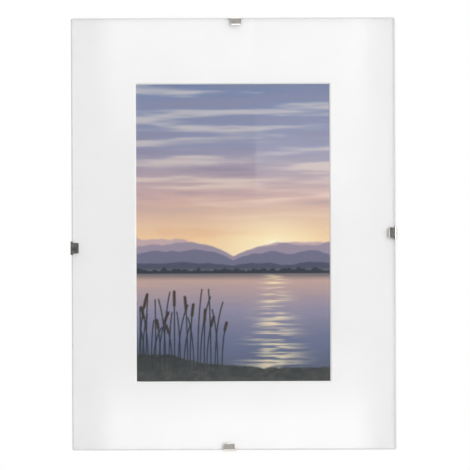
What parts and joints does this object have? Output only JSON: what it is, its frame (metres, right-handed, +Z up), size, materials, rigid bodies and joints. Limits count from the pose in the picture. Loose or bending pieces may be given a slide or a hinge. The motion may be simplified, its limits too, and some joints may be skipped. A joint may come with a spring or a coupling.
{
  "type": "clip picture frame",
  "caption": "Frameless wall picture frame: glass, bevelled mat and taped print held to a grooved hardboard back by sprung steel clips, with riveted ring hangers for either way up.",
  "frame": {"origin": "where a nail bears in the upright hanger's ring: the inside of the ring's raised apex, in the plane of its wire", "axes": "+X to the right seen from the front, +Y backwards to the wall, +Z up; the picture faces -Y"},
  "size_m": [0.3028, 0.0114, 0.4028],
  "materials": {
    "glass": "clear 2 mm float glass with ground edges",
    "mat": "off-white mat board with a white bevelled core",
    "photo": null,
    "tape": "gummed linen hinging tape",
    "hardboard": "smooth brown hardboard with raw saw-cut grooves",
    "clip_steel": "bright nickel-plated spring steel",
    "hanger_steel": "zinc-plated pressed steel and wire",
    "rivet_brass": "brassed hollow rivet"
  },
  "bodies": {
    "panel": {"glass_pane": "glass", "mat_board": "mat", "photo_print": "photo", "hinge_tape_left": "tape", "hinge_tape_right": "tape", "backing_board": "hardboard", "portrait_hanger_plate": "hanger_steel", "portrait_hanger_rivet": "rivet_brass", "landscape_hanger_plate": "hanger_steel", "landscape_hanger_rivet": "rivet_brass"},
    "top_clip": {"clip_top": "clip_steel"},
    "bottom_clip": {"clip_bottom": "clip_steel"},
    "left_clip": {"clip_left": "clip_steel"},
    "right_clip": {"clip_right": "clip_steel"},
    "portrait_ring": {"portrait_hanger_ring": "hanger_steel"},
    "landscape_ring": {"landscape_hanger_ring": "hanger_steel"}
  },
  "joints": [
    {"name": "top_clip_release", "type": "hinge", "parent": "panel", "child": "top_clip", "pos_m": [0.0027, -0.00859, 0.031], "axis": [1, 0, 0], "range_deg": [0, 25], "stiffness_Nm_per_rad": 0.3, "springref_deg": -17.19},
    {"name": "bottom_clip_release", "type": "hinge", "parent": "panel", "child": "bottom_clip", "pos_m": [-0.0046, -0.00859, -0.3574], "axis": [-1, 0, 0], "range_deg": [0, 25], "stiffness_Nm_per_rad": 0.3, "springref_deg": -17.19},
    {"name": "left_clip_release", "type": "hinge", "parent": "panel", "child": "left_clip", "pos_m": [-0.1442, -0.00859, -0.1759], "axis": [0, 0, 1], "range_deg": [0, 25], "stiffness_Nm_per_rad": 0.3, "springref_deg": -17.19},
    {"name": "right_clip_release", "type": "hinge", "parent": "panel", "child": "right_clip", "pos_m": [0.1442, -0.00859, -0.1626], "axis": [0, 0, -1], "range_deg": [0, 25], "stiffness_Nm_per_rad": 0.3, "springref_deg": -17.19},
    {"name": "portrait_ring_swing", "type": "hinge", "parent": "panel", "child": "portrait_ring", "pos_m": [0, 0, -0.0132], "axis": [-1, 0, 0], "range_deg": [0, 180]},
    {"name": "landscape_ring_swing", "type": "hinge", "parent": "panel", "child": "landscape_ring", "pos_m": [0.1, 0, -0.1632], "axis": [0, 0, 1], "range_deg": [0, 180]}
  ]
}
